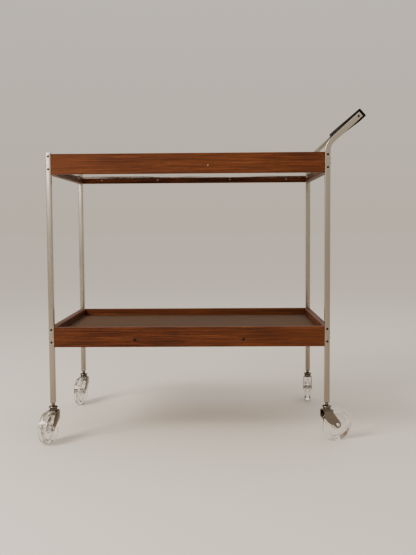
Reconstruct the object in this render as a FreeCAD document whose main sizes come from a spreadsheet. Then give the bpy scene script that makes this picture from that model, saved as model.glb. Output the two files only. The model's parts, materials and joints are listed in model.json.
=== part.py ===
import FreeCAD
import Part
import Sketcher
import math
import os
import re

from FreeCAD import Placement, Rotation, Vector

# Heated serving cart: two walnut trays between four square tube posts, on swivel casters.
# Origin on the floor under the middle of the trays, +X towards the handle, +Z up, millimetres.

doc = FreeCAD.newDocument("heated_serving_cart")

# Driving sizes, in millimetres and degrees
SIZES = {
    # posts, over their outer faces
    "cart_length": 673.0,
    "cart_depth": 432.0,
    "post_width": 12.7,
    "post_wall": 1.6,
    "post_corner_radius": 1.2,
    "post_rise": 2.0,
    "plug_head": 1.2,
    "plug_depth": 4.0,
    "plug_gap": 0.1,
    # tray rails
    "rail_height": 48.0,
    "rail_thickness": 15.9,
    "rail_edge_radius": 1.2,
    "upper_rail_top": 690.0,
    "lower_rail_top": 277.0,
    # screws that hold the posts to the rails
    "screw_diameter": 3.2,
    "screw_head_diameter": 5.6,
    "screw_head_height": 1.4,
    "screw_grip": 24.0,
    "screw_gap": 0.05,
    "screw_tip_gap": 0.5,
    "face_screw_drop": 6.0,
    "face_screw_pitch": 30.0,
    "side_screw_drop": 15.5,
    "side_screw_pitch": 11.0,
    # handle
    "handle_bend_rise": 17.3,
    "handle_bend_radius": 36.0,
    "handle_angle": 42.3,
    "handle_reach": 75.4,
    "bar_side": 23.0,
    "bar_edge_radius": 2.5,
    "arm_end_margin": 9.8,
    "arm_screw_inset": 7.3,
    # heated upper tray
    "pan_recess": 9.0,
    "pan_sheet": 1.0,
    "pan_gap": 0.4,
    "ledger_width": 12.0,
    "glass_thickness": 6.0,
    "glass_recess": 5.0,
    "glass_gap": 0.8,
    "glass_corner_radius": 4.0,
    "glass_arris": 0.8,
    "gasket_thickness": 1.5,
    "element_thickness": 1.5,
    "element_width": 6.0,
    "element_passes": 8,
    "element_margin": 30.0,
    "element_board_thickness": 2.0,
    "blanket_gap": 0.3,
    "wiring_bay": 60.0,
    "stud_diameter": 4.0,
    "pan_screw_diameter": 3.0,
    "pan_screw_head_diameter": 6.5,
    "pan_screw_head_height": 1.8,
    "pan_screw_grip": 12.0,
    "pan_screw_margin": 55.6,
    "pan_screw_inner_share": 0.3925,
    "pan_screw_end_share": 0.45,
    "rail_pin_diameter": 3.0,
    "rail_pin_length": 12.0,
    "rail_pin_head": 0.4,
    "rail_pin_offset": 48.0,
    "rail_pin_height": 19.0,
    # appliance inlet, thermostat and leads
    "inlet_width": 32.0,
    "inlet_height": 15.0,
    "inlet_depth": 36.0,
    "inlet_wall": 1.6,
    "inlet_back": 5.0,
    "inlet_flange": 1.5,
    "inlet_ear": 8.0,
    "inlet_lip": 3.0,
    "inlet_corner_radius": 3.0,
    "inlet_gap": 0.1,
    "inlet_pin_diameter": 4.8,
    "inlet_pin_pitch": 14.0,
    "inlet_pin_recess": 6.0,
    "inlet_tab": 8.0,
    "inlet_screw_diameter": 2.5,
    "inlet_screw_head_diameter": 4.6,
    "inlet_screw_head_height": 1.0,
    "thermostat_diameter": 22.0,
    "thermostat_height": 12.5,
    "thermostat_flange": 1.5,
    "thermostat_rim": 2.0,
    "thermostat_offset": 60.0,
    "thermostat_tab": 4.0,
    "thermostat_tab_width": 6.0,
    "thermostat_tab_thickness": 3.0,
    "lead_diameter": 3.0,
    "lead_bend_radius": 9.0,
    # lower tray
    "panel_drop": 17.5,
    "laminate_thickness": 1.2,
    "board_thickness": 5.2,
    "groove_depth": 3.0,
    "groove_gap": 0.1,
    "panel_edge_gap": 0.4,
    "batten_width": 18.0,
    "batten_height": 15.0,
    "batten_pitch": 260.0,
    "batten_screw_diameter": 4.0,
    "batten_screw_head_diameter": 7.0,
    "batten_screw_head_height": 1.4,
    "batten_screw_drop": 6.2,
    "batten_screw_grip": 25.0,
    # swivel casters
    "wheel_diameter": 76.2,
    "wheel_width": 17.5,
    "wheel_edge_radius": 2.5,
    "wheel_rim": 7.5,
    "wheel_web": 6.0,
    "wheel_hub_diameter": 20.0,
    "wheel_draft": 1.2,
    "bush_diameter": 10.0,
    "bush_fit": 0.03,
    "axle_diameter": 6.0,
    "axle_head_diameter": 8.4,
    "axle_head_height": 1.7,
    "running_gap": 0.05,
    "side_gap": 0.3,
    "fork_room": 1.6,
    "fork_sheet": 1.8,
    "fork_crown_rise": 0.3,
    "fork_crown_back": 11.5,
    "fork_crown_front": 12.0,
    "fork_back_drop": 20.0,
    "fork_front_drop": 7.0,
    "fork_corner_radius": 6.0,
    "fork_boss_radius": 8.0,
    "fork_bend_radius": 4.5,
    "caster_trail": 25.0,
    "swivel_gap": 0.15,
    "race_diameter": 19.0,
    "race_rise": 3.0,
    "washer_diameter": 17.0,
    "washer_thickness": 2.4,
    "cap_diameter": 22.5,
    "cap_height": 4.8,
    "cap_lip": 1.4,
    "stem_diameter": 7.0,
    "stem_collar_diameter": 8.6,
    "stem_show": 7.45,
    "stem_insert": 28.0,
    "stem_head_diameter": 12.0,
    "stem_head_height": 2.0,
    "socket_depth": 32.0,
    "socket_flange": 1.0,
    "socket_step": 0.8,
    # where each caster trails at rest, turned from +X towards +Y
    "front_left_caster_angle": 255.0,
    "back_left_caster_angle": 260.0,
    "front_right_caster_angle": 20.0,
    "back_right_caster_angle": 84.0,
}

# Places and sizes that follow from the driving ones
PLACES = {
    "post_x": "(cart_length - post_width) / 2",
    "post_y": "(cart_depth - post_width) / 2",
    "post_inside": "post_width - 2 * post_wall",
    "left_post_top": "upper_rail_top + post_rise",
    "long_rail_length": "cart_length - 2 * post_width",
    "short_rail_length": "cart_depth - 2 * post_width",
    "rail_step": "rail_thickness - post_width",
    "tray_length": "cart_length - 2 * rail_thickness",
    "tray_depth": "cart_depth - 2 * rail_thickness",
    "upper_rail_bottom": "upper_rail_top - rail_height",
    "lower_rail_bottom": "lower_rail_top - rail_height",
    "handle_bend_height": "upper_rail_top + handle_bend_rise",
    "bar_z": "handle_bend_height + handle_reach * tan(handle_angle)",
    "arm_tip": "bar_side / 2 - arm_end_margin - plug_head",
    "arm_screw": "bar_side / 2 - arm_end_margin - arm_screw_inset",
    "arm_screw_rise": "arm_screw * sin(handle_angle)",
    "arm_screw_run": "arm_screw * cos(handle_angle)",
    "bend_setback": "handle_bend_radius * tan((90 - handle_angle) / 2)",
    "pan_screw_outer_pitch": "tray_length - 2 * pan_screw_margin",
    "pan_screw_inner_pitch": "pan_screw_outer_pitch * pan_screw_inner_share",
    "pan_screw_end_pitch": "tray_depth * pan_screw_end_share",
    "pan_bottom": "upper_rail_bottom + pan_recess",
    "pan_top": "pan_bottom + pan_sheet",
    "glass_bottom": "upper_rail_top - glass_recess - glass_thickness",
    "gasket_bottom": "glass_bottom - gasket_thickness",
    "ledger_height": "gasket_bottom - pan_top",
    "element_bottom": "glass_bottom - element_thickness",
    "element_board_bottom": "element_bottom - element_board_thickness",
    "bay_left": "-tray_length / 2 + ledger_width",
    "bay_right": "bay_left + wiring_bay",
    "blanket_right": "tray_length / 2 - ledger_width - blanket_gap",
    "blanket_depth": "tray_depth - 2 * ledger_width - 2 * blanket_gap",
    "lead_x": "(bay_left + bay_right) / 2",
    "lead_z": "pan_top + ledger_height / 2",
    "element_right": "blanket_right - element_margin",
    "element_run": "element_right - lead_x",
    "element_span": "blanket_depth - 2 * element_margin",
    "element_pitch": "element_span / (element_passes - 1)",
    "panel_bottom": "lower_rail_top - panel_drop - laminate_thickness - board_thickness",
    "panel_reach": "groove_depth - panel_edge_gap",
    "batten_screw_z": "panel_bottom - batten_screw_drop",
    "wheel_radius": "wheel_diameter / 2",
    "fork_inside": "wheel_width + 2 * fork_room",
    "fork_width": "fork_inside + 2 * fork_sheet",
    "fork_crown_height": "wheel_diameter + fork_crown_rise",
    "race_top": "fork_crown_height + race_rise",
    "cap_bottom": "race_top + washer_thickness + swivel_gap",
    "cap_top": "cap_bottom + cap_height",
    "post_bottom": "cap_top + stem_show",
    "stem_head_top": "fork_crown_height - fork_sheet - swivel_gap",
    "shank_hole": "screw_diameter / 2 + screw_gap",
    "pan_shank_hole": "pan_screw_diameter / 2 + screw_gap",
    "batten_shank_hole": "batten_screw_diameter / 2 + screw_gap",
    "inlet_flange_width": "inlet_width + 2 * inlet_ear",
    "inlet_flange_height": "inlet_height + 2 * inlet_lip",
    "inlet_screw_pitch": "inlet_width + inlet_ear",
    "inlet_shank_hole": "inlet_screw_diameter / 2 + screw_gap",
}

CELL_OF = {alias: "sizes." + alias for alias in SIZES}
CELL_OF.update({alias: "layout." + alias for alias in PLACES})


def linked(text):
    """The formula with each name in it pointing at its cell."""
    return re.sub(r"[a-z_]+", lambda word: CELL_OF.get(word.group(), word.group()), text)


sizes = doc.addObject("Spreadsheet::Sheet", "sizes")
for row, (alias, number) in enumerate(SIZES.items(), start=1):
    sizes.set(f"A{row}", alias)
    sizes.set(f"B{row}", str(number))
    sizes.setAlias(f"B{row}", alias)

layout = doc.addObject("Spreadsheet::Sheet", "layout")
for row, (alias, formula) in enumerate(PLACES.items(), start=1):
    layout.set(f"A{row}", alias)
    layout.set(f"B{row}", "=" + linked(formula).replace("layout.", ""))
    layout.setAlias(f"B{row}", alias)
doc.recompute()


def size(alias):
    """The number that a cell holds now."""
    sheet = sizes if alias in SIZES else layout
    return float(sheet.get(alias))


# Sketches: each corner, centre and radius is tied to the cells

def tie(sketch, constraint, text):
    number = sketch.addConstraint(constraint)
    sketch.setExpression(f"Constraints[{number}]", linked(text))


def pin(sketch, edge, end, across, along):
    """Hold one point of an edge at a place of its sketch."""
    point = sketch.getPoint(edge, end)
    tie(sketch, Sketcher.Constraint("DistanceX", edge, end, point.x), across)
    tie(sketch, Sketcher.Constraint("DistanceY", edge, end, point.y), along)


def origin_plane(body, role):
    return next(plane for plane in body.Origin.OriginFeatures if plane.Role == role)


def new_body(label):
    body = doc.addObject("PartDesign::Body", label)
    body.Label = label
    return body


def new_sketch(body, title, role, offset=("0", "0", "0")):
    sketch = body.newObject("Sketcher::SketchObject", body.Name + "_" + title)
    sketch.AttachmentSupport = [(origin_plane(body, role), "")]
    sketch.MapMode = "FlatFace"
    for axis, text in zip("xyz", offset):
        sketch.setExpression("AttachmentOffset.Base." + axis, linked(text))
    return sketch


def add_outline(sketch, corners):
    """A closed outline of straight edges through the corners."""
    count = len(corners)
    first = sketch.GeometryCount
    step = 2 * math.pi / count
    ring = [Vector(math.cos(step * i), math.sin(step * i), 0) for i in range(count)]
    for i in range(count):
        sketch.addGeometry(Part.LineSegment(ring[i], ring[(i + 1) % count]))
    for i in range(count):
        sketch.addConstraint(Sketcher.Constraint("Coincident", first + i, 2, first + (i + 1) % count, 1))
    for i, (across, along) in enumerate(corners):
        pin(sketch, first + i, 1, across, along)


def add_rectangle(sketch, width, height, across="0", along="0"):
    """A rectangle about the place (across, along)."""
    corners = []
    for sign_x, sign_y in ((-1, -1), (1, -1), (1, 1), (-1, 1)):
        corners.append((f"{across} + {sign_x} * ({width}) / 2", f"{along} + {sign_y} * ({height}) / 2"))
    add_outline(sketch, corners)


def add_circle(sketch, radius, across="0", along="0"):
    circle = sketch.addGeometry(Part.Circle(Vector(0, 0, 0), Vector(0, 0, 1), 1))
    pin(sketch, circle, 3, across, along)
    tie(sketch, Sketcher.Constraint("Radius", circle, 1.0), radius)


def add_rounded_square(sketch, side, radius):
    """A square about the sketch's centre with four tangent corner arcs."""
    half_now = 10.0
    radius_now = 2.0
    flat_now = half_now - radius_now
    sides = []
    arcs = []
    for quarter in range(4):
        turn = Rotation(Vector(0, 0, 1), 90 * quarter)
        start = turn.multVec(Vector(half_now, -flat_now, 0))
        end = turn.multVec(Vector(half_now, flat_now, 0))
        centre = turn.multVec(Vector(flat_now, flat_now, 0))
        angle = math.radians(90 * quarter)
        circle = Part.Circle(centre, Vector(0, 0, 1), radius_now)
        sides.append(sketch.addGeometry(Part.LineSegment(start, end)))
        arcs.append(sketch.addGeometry(Part.ArcOfCircle(circle, angle, angle + math.pi / 2)))
    for quarter in range(4):
        following = sides[(quarter + 1) % 4]
        upright = quarter % 2 == 0
        sign = 1 if quarter < 2 else -1
        sketch.addConstraint(Sketcher.Constraint("Tangent", sides[quarter], 2, arcs[quarter], 1))
        sketch.addConstraint(Sketcher.Constraint("Tangent", arcs[quarter], 2, following, 1))
        sketch.addConstraint(Sketcher.Constraint("Vertical" if upright else "Horizontal", sides[quarter]))
        distance = "DistanceX" if upright else "DistanceY"
        side_place = Sketcher.Constraint(distance, sides[quarter], 1, sign * half_now)
        tie(sketch, side_place, f"{sign} * ({side}) / 2")
    tie(sketch, Sketcher.Constraint("Radius", arcs[0], radius_now), radius)
    for arc in arcs[1:]:
        sketch.addConstraint(Sketcher.Constraint("Equal", arcs[0], arc))


# Features: lengths, depths and radii are tied to the cells

def pad(body, sketch, length, symmetric=False, backwards=False):
    feature = body.newObject("PartDesign::Pad", sketch.Name + "_pad")
    feature.Profile = sketch
    feature.setExpression("Length", linked(length))
    feature.Midplane = symmetric
    feature.Reversed = backwards
    return feature


def pocket(body, sketch, depth=None, backwards=False):
    """A cut of the given depth, or right through both ways."""
    feature = body.newObject("PartDesign::Pocket", sketch.Name + "_pocket")
    feature.Profile = sketch
    feature.Reversed = backwards
    if depth is None:
        feature.Type = "ThroughAll"
        feature.Midplane = True
    else:
        feature.setExpression("Length", linked(depth))
    return feature


def revolve(body, sketch):
    """A full turn about the sketch's upright axis."""
    feature = body.newObject("PartDesign::Revolution", sketch.Name + "_turn")
    feature.Profile = sketch
    feature.ReferenceAxis = (sketch, ["V_Axis"])
    feature.Angle = 360
    return feature


def mirror(body, feature, role):
    twin = body.newObject("PartDesign::Mirrored", feature.Name + "_twin")
    twin.Originals = [feature]
    twin.MirrorPlane = (origin_plane(body, role), [""])
    body.Tip = twin


def round_edges(body, radius, wanted):
    """Round the edges whose box and middle the test accepts."""
    doc.recompute()
    base = body.Tip
    names = []
    for number, edge in enumerate(base.Shape.Edges, start=1):
        if wanted(edge.BoundBox, edge.CenterOfMass):
            names.append(f"Edge{number}")
    feature = body.newObject("PartDesign::Fillet", f"{base.Name}_{radius}")
    feature.Base = (base, names)
    feature.setExpression("Radius", linked(radius))


def near(value, target):
    return abs(value - target) < 0.01


def place(part, across="0", along="0", up="0", turn=0.0):
    """Put a part in the cart's frame, turned about the upright axis."""
    part.Placement = Placement(Vector(), Rotation(Vector(0, 0, 1), turn))
    for axis, text in zip("xyz", (across, along, up)):
        part.setExpression("Placement.Base." + axis, linked(text))


nodes = []


def add_node(part):
    nodes.append(part)
    return part


def add_group(label, template, places):
    """One node of like solids: copies of a template at each place."""
    doc.recompute()
    copies = []
    for spot in places:
        copy = template.Shape.copy()
        copy.Placement = spot
        copies.append(copy)
    group = doc.addObject("Part::Feature", label)
    group.Label = label
    group.Shape = Part.makeCompound(copies)
    return add_node(group)


# Fasteners: a round head on a plain shank, along Z with the head up

def make_screw(name, diameter, head_diameter, head_height, shank):
    body = new_body(name)
    profile = new_sketch(body, "profile", "XZ_Plane")
    add_outline(profile, [
        ("0", f"-({shank})"),
        (f"{diameter} / 2", f"-({shank})"),
        (f"{diameter} / 2", "0"),
        (f"{head_diameter} / 2", "0"),
        (f"{head_diameter} / 2", f"{head_height} * 0.35"),
        (f"{head_diameter} * 0.3", head_height),
        ("0", head_height),
    ])
    revolve(body, profile)
    return body


def facing(direction):
    """The turn that points a fastener's head in a direction."""
    return Rotation(Vector(0, 0, 1), Vector(*direction))


# Posts: square tubes drilled across for the screws of both trays

CORNERS = {
    "front_left": (-1, -1),
    "back_left": (-1, 1),
    "front_right": (1, -1),
    "back_right": (1, 1),
}
FACE_SCREW_DROPS = ("face_screw_drop", "(face_screw_drop + face_screw_pitch)")
SIDE_SCREW_DROPS = ("side_screw_drop", "(side_screw_drop + side_screw_pitch)")
RAIL_TOPS = ("upper_rail_top", "lower_rail_top")


def add_arm_path(body):
    """Up the post, round the bend and out along the handle's arm."""
    path = new_sketch(body, "path", "XZ_Plane")
    radius = size("handle_bend_radius")
    slope = math.radians(size("handle_angle"))
    bend_start = Vector(0, size("handle_bend_height") - size("bend_setback"), 0)
    centre = bend_start + Vector(radius, 0, 0)
    outward = Vector(math.cos(slope), math.sin(slope), 0)
    bend_end = Vector(0, size("handle_bend_height"), 0) + outward * size("bend_setback")
    circle = Part.Circle(centre, Vector(0, 0, 1), radius)
    upright = path.addGeometry(Part.LineSegment(Vector(0, size("post_bottom"), 0), bend_start))
    bend = path.addGeometry(Part.ArcOfCircle(circle, math.pi / 2 + slope, math.pi))
    arm = path.addGeometry(Part.LineSegment(bend_end, bend_end + outward * size("handle_reach")))
    path.addConstraint(Sketcher.Constraint("Vertical", upright))
    path.addConstraint(Sketcher.Constraint("Tangent", upright, 2, bend, 2))
    path.addConstraint(Sketcher.Constraint("Tangent", bend, 1, arm, 1))
    pin(path, upright, 1, "0", "post_bottom")
    tie(path, Sketcher.Constraint("DistanceY", upright, 2, bend_start.y), "handle_bend_height - bend_setback")
    tie(path, Sketcher.Constraint("Radius", bend, radius), "handle_bend_radius")
    tie(path, Sketcher.Constraint("Angle", arm, slope), "handle_angle")
    tip = path.getPoint(arm, 2)
    reach = "handle_reach + arm_tip * cos(handle_angle)"
    tie(path, Sketcher.Constraint("DistanceX", arm, 2, tip.x), reach)
    return path


def make_post(corner, side, front):
    body = new_body("post_" + corner)
    profile = new_sketch(body, "profile", "XY_Plane", ("0", "0", "post_bottom"))
    add_rounded_square(profile, "post_width", "post_corner_radius")
    add_rectangle(profile, "post_inside", "post_inside")
    bent = side > 0
    if bent:
        path = add_arm_path(body)
        pipe = body.newObject("PartDesign::AdditivePipe", body.Name + "_pipe")
        pipe.Profile = profile
        pipe.Spine = (path, ["Edge1", "Edge2", "Edge3"])
    else:
        pad(body, profile, "left_post_top - post_bottom")
    face_holes = new_sketch(body, "face_holes", "XZ_Plane")
    side_holes = new_sketch(body, "side_holes", "YZ_Plane")
    for rail_top in RAIL_TOPS:
        for drop in FACE_SCREW_DROPS:
            add_circle(face_holes, "shank_hole", along=f"{rail_top} - {drop}")
        for drop in SIDE_SCREW_DROPS:
            add_circle(side_holes, "shank_hole", along=f"{rail_top} - {drop}")
    if bent:
        add_circle(face_holes, "shank_hole", "handle_reach + arm_screw_run", "bar_z + arm_screw_rise")
    pocket(body, face_holes)
    pocket(body, side_holes)
    place(body, f"{side} * post_x", f"{front} * post_y")
    return add_node(body)


for corner, (side, front) in CORNERS.items():
    make_post(corner, side, front)

# Plugs that close the open tops of the tubes
tube_plug = new_body("tube_plug")
plug_top = new_sketch(tube_plug, "head", "XY_Plane")
add_rounded_square(plug_top, "post_width", "post_corner_radius")
pad(tube_plug, plug_top, "plug_head")
plug_shank = new_sketch(tube_plug, "shank", "XY_Plane")
add_rectangle(plug_shank, "post_inside - 2 * plug_gap", "post_inside - 2 * plug_gap")
pad(tube_plug, plug_shank, "plug_depth", backwards=True)
arm_lean = Rotation(Vector(0, 1, 0), 90 - size("handle_angle"))
arm_end = Vector(size("post_x") + size("handle_reach"), 0, size("bar_z"))
arm_end = arm_end + arm_lean.multVec(Vector(0, 0, size("arm_tip")))
plug_places = []
for front in (-1, 1):
    along = front * size("post_y")
    plug_places.append(Placement(Vector(-size("post_x"), along, size("left_post_top")), Rotation()))
    plug_places.append(Placement(arm_end + Vector(0, along, 0), arm_lean))
add_group("tube_end_plugs", tube_plug, plug_places)


def add_end_holes(body, length, spots, radius, depth):
    """Blind holes in both ends of a bar that lies along X."""
    holes = new_sketch(body, "end_holes", "YZ_Plane", ("0", "0", f"({length}) / 2"))
    for across, along in spots:
        add_circle(holes, radius, across, along)
    cut = pocket(body, holes, depth)
    mirror(body, cut, "YZ_Plane")


# Tray rails: along X, the outer face at y = 0 and the lower edge at z = 0

def make_rail(label, length, drops, stepped=False, grooved=False):
    body = new_body(label)
    outline = new_sketch(body, "outline", "XY_Plane")
    end = f"({length}) / 2"
    if stepped:
        corners = [
            (f"-{end}", "0"),
            (end, "0"),
            (end, "post_width"),
            (f"{end} - rail_step", "post_width"),
            (f"{end} - rail_step", "rail_thickness"),
            (f"-{end} + rail_step", "rail_thickness"),
            (f"-{end} + rail_step", "post_width"),
            (f"-{end}", "post_width"),
        ]
        add_outline(outline, corners)
    else:
        add_rectangle(outline, length, "rail_thickness", along="rail_thickness / 2")
    pad(body, outline, "rail_height")
    if grooved:
        groove = new_sketch(body, "groove", "YZ_Plane")
        foot = "panel_bottom - lower_rail_bottom"
        head = f"{foot} + board_thickness + groove_gap"
        add_outline(groove, [
            ("rail_thickness - groove_depth", foot),
            ("rail_thickness + groove_depth", foot),
            ("rail_thickness + groove_depth", head),
            ("rail_thickness - groove_depth", head),
        ])
        pocket(body, groove)
    spots = [("post_width / 2", f"rail_height - {drop}") for drop in drops]
    add_end_holes(body, length, spots, "shank_hole", "screw_grip + screw_tip_gap")
    faces = (0.0, size("rail_thickness"))
    levels = (0.0, size("rail_height"))

    def long_edge(box, middle):
        on_face = any(near(middle.y, face) for face in faces)
        on_level = any(near(middle.z, level) for level in levels)
        return on_face and on_level and near(box.YLength, 0) and near(box.ZLength, 0)

    round_edges(body, "rail_edge_radius", long_edge)
    return add_node(body)


def make_tray_rails(tray, bottom, grooved):
    """The four rails of a tray, each turned so that its outer face looks out."""
    front = make_rail(f"{tray}_front_rail", "long_rail_length", SIDE_SCREW_DROPS, True, grooved)
    back = make_rail(f"{tray}_back_rail", "long_rail_length", SIDE_SCREW_DROPS, True, grooved)
    left = make_rail(f"{tray}_left_rail", "short_rail_length", FACE_SCREW_DROPS, False, grooved)
    right = make_rail(f"{tray}_right_rail", "short_rail_length", FACE_SCREW_DROPS, False, grooved)
    place(front, "0", "-cart_depth / 2", bottom)
    place(back, "0", "cart_depth / 2", bottom, 180)
    place(left, "-cart_length / 2", "0", bottom, -90)
    place(right, "cart_length / 2", "0", bottom, 90)
    return front, back, left, right


upper_rails = make_tray_rails("upper", "upper_rail_bottom", False)
lower_rails = make_tray_rails("lower", "lower_rail_bottom", True)

# Post screws: two through each post's face and two through its side, at both trays
post_screw = make_screw("post_screw", "screw_diameter", "screw_head_diameter",
                        "screw_head_height", "post_width + screw_grip")
post_screw_places = []
for side, front in CORNERS.values():
    for rail_top in RAIL_TOPS:
        for step in (0, 1):
            face_z = size(rail_top) - size("face_screw_drop") - step * size("face_screw_pitch")
            side_z = size(rail_top) - size("side_screw_drop") - step * size("side_screw_pitch")
            on_face = Vector(side * size("post_x"), front * size("cart_depth") / 2, face_z)
            on_side = Vector(side * size("cart_length") / 2, front * size("post_y"), side_z)
            post_screw_places.append(Placement(on_face, facing((0, front, 0))))
            post_screw_places.append(Placement(on_side, facing((side, 0, 0))))
add_group("post_screws", post_screw, post_screw_places)

# Handle bar: square with eased edges, leaning with the arms and held between them
handle_bar = add_node(new_body("handle_bar"))
bar_section = new_sketch(handle_bar, "section", "XZ_Plane")
bar_section.AttachmentOffset = Placement(Vector(), Rotation(Vector(0, 0, 1), size("handle_angle")))
add_rounded_square(bar_section, "bar_side", "bar_edge_radius")
pad(handle_bar, bar_section, "short_rail_length", symmetric=True)
bar_holes = new_sketch(handle_bar, "holes", "XZ_Plane", ("0", "0", "short_rail_length / 2"))
add_circle(bar_holes, "shank_hole", "arm_screw_run", "arm_screw_rise")
bar_cut = pocket(handle_bar, bar_holes, "screw_grip + screw_tip_gap")
mirror(handle_bar, bar_cut, "XZ_Plane")
place(handle_bar, "post_x + handle_reach", "0", "bar_z")
handle_screw_places = []
handle_screw_x = size("post_x") + size("handle_reach") + size("arm_screw_run")
handle_screw_z = size("bar_z") + size("arm_screw_rise")
for front in (-1, 1):
    spot = Vector(handle_screw_x, front * size("cart_depth") / 2, handle_screw_z)
    handle_screw_places.append(Placement(spot, facing((0, front, 0))))
add_group("handle_screws", post_screw, handle_screw_places)

# Upper tray: ledger strips glued inside the rails carry the glass above and the pan below

PAN_SCREW_PITCHES = ("pan_screw_inner_pitch", "pan_screw_outer_pitch")


def make_ledger(label, length, pitches):
    body = new_body(label)
    outline = new_sketch(body, "outline", "XY_Plane")
    add_rectangle(outline, length, "ledger_width", along="ledger_width / 2")
    pad(body, outline, "ledger_height")
    holes = new_sketch(body, "holes", "XY_Plane")
    for pitch in pitches:
        for sign in (-1, 1):
            add_circle(holes, "pan_shank_hole", f"{sign} * {pitch} / 2", "ledger_width / 2")
    pocket(body, holes, "pan_screw_grip + screw_tip_gap", backwards=True)
    return body


long_ledger = make_ledger("long_ledger", "tray_length", PAN_SCREW_PITCHES)
short_ledger_length = "tray_depth - 2 * ledger_width"
ledger_strip_left = add_node(make_ledger("ledger_strip_left", short_ledger_length, ["pan_screw_end_pitch"]))
ledger_strip_right = add_node(make_ledger("ledger_strip_right", short_ledger_length, ["pan_screw_end_pitch"]))
place(ledger_strip_left, "-tray_length / 2", "0", "pan_top", -90)
place(ledger_strip_right, "tray_length / 2", "0", "pan_top", 90)
front_ledger = Placement(Vector(0, -size("tray_depth") / 2, size("pan_top")), Rotation())
back_ledger = Placement(Vector(0, size("tray_depth") / 2, size("pan_top")), Rotation(Vector(0, 0, 1), 180))
add_group("ledger_strips_long", long_ledger, [front_ledger, back_ledger])

# The left rail and its ledger strip are cut through for the inlet
inlet_hole_width = "inlet_width + 2 * inlet_gap"
inlet_hole_height = "inlet_height + 2 * inlet_gap"
for holder, bottom in ((upper_rails[2], "upper_rail_bottom"), (ledger_strip_left, "pan_top")):
    inlet_hole = new_sketch(holder, "inlet_hole", "XZ_Plane")
    add_rectangle(inlet_hole, inlet_hole_width, inlet_hole_height, along=f"lead_z - {bottom}")
    pocket(holder, inlet_hole)
inlet_screw_holes = new_sketch(upper_rails[2], "inlet_screw_holes", "XZ_Plane")
for sign in (-1, 1):
    across = f"{sign} * inlet_screw_pitch / 2"
    add_circle(inlet_screw_holes, "inlet_shank_hole", across, "lead_z - upper_rail_bottom")
pocket(upper_rails[2], inlet_screw_holes)

# Reflector pan: polished sheet screwed up against the ledger strips
reflector_pan = add_node(new_body("reflector_pan"))
pan_outline = new_sketch(reflector_pan, "outline", "XY_Plane")
add_rectangle(pan_outline, "tray_length - 2 * pan_gap", "tray_depth - 2 * pan_gap")
pan_screw_spots = []
for sign_x in (-1, 1):
    for sign_y in (-1, 1):
        for pitch in PAN_SCREW_PITCHES:
            across = f"{sign_x} * {pitch} / 2"
            along = f"{sign_y} * (tray_depth - ledger_width) / 2"
            add_circle(pan_outline, "pan_shank_hole", across, along)
            ledger_middles = size("tray_depth") - size("ledger_width")
            pan_screw_spots.append((sign_x * size(pitch), sign_y * ledger_middles))
        across = f"{sign_x} * (tray_length - ledger_width) / 2"
        along = f"{sign_y} * pan_screw_end_pitch / 2"
        add_circle(pan_outline, "pan_shank_hole", across, along)
        pan_screw_spots.append((sign_x * (size("tray_length") - size("ledger_width")),
                                sign_y * size("pan_screw_end_pitch")))
pad(reflector_pan, pan_outline, "pan_sheet")
place(reflector_pan, up="pan_bottom")
pan_screw = make_screw("pan_screw", "pan_screw_diameter", "pan_screw_head_diameter",
                       "pan_screw_head_height", "pan_sheet + pan_screw_grip")
head_down = Rotation(Vector(1, 0, 0), 180)
pan_screw_places = []
for double_x, double_y in pan_screw_spots:
    spot = Vector(double_x / 2, double_y / 2, size("pan_bottom"))
    pan_screw_places.append(Placement(spot, head_down))
add_group("pan_screws", pan_screw, pan_screw_places)

# Glass hot plate on its gasket
glass_gasket = add_node(new_body("glass_gasket"))
gasket_outline = new_sketch(glass_gasket, "outline", "XY_Plane")
add_rectangle(gasket_outline, "tray_length - 2 * glass_gap", "tray_depth - 2 * glass_gap")
add_rectangle(gasket_outline, "tray_length - 2 * ledger_width", "tray_depth - 2 * ledger_width")
pad(glass_gasket, gasket_outline, "gasket_thickness")
place(glass_gasket, up="gasket_bottom")

glass_top = add_node(new_body("glass_top"))
glass_outline = new_sketch(glass_top, "outline", "XY_Plane")
add_rectangle(glass_outline, "tray_length - 2 * glass_gap", "tray_depth - 2 * glass_gap")
pad(glass_top, glass_outline, "glass_thickness")
round_edges(glass_top, "glass_corner_radius", lambda box, middle: box.ZLength > 0.5 * size("glass_thickness"))
round_edges(glass_top, "glass_arris", lambda box, middle: near(box.ZMin, size("glass_thickness")))
place(glass_top, up="glass_bottom")

# Heating element: a flat ribbon to and fro across the board, with a stud under each end

def ribbon_outline(passes):
    """Both edges of the ribbon, a quarter turn at each end of each pass."""
    line = []
    for number in range(passes):
        first = -1 if number % 2 == 0 else 1
        line += [(first, number), (-first, number)]
    lefts = []
    for (side, number), (next_side, next_number) in zip(line, line[1:]):
        lefts.append((0, (next_side - side) // 2) if number == next_number else (-1, 0))
    edges = []
    for spot, (side, number) in enumerate(line):
        before = lefts[spot - 1] if spot > 0 else (0, 0)
        after = lefts[spot] if spot < len(lefts) else (0, 0)
        edges.append((side, number - (passes - 1) / 2, before[0] + after[0], before[1] + after[1]))
    corners = []
    for sign, walk in ((1, edges), (-1, edges[::-1])):
        for side, row, left_x, left_y in walk:
            across = f"{side} * element_run / 2 + {sign * left_x} * element_width / 2"
            along = f"{row} * element_pitch + {sign * left_y} * element_width / 2"
            corners.append((across, along))
    return corners


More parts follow.
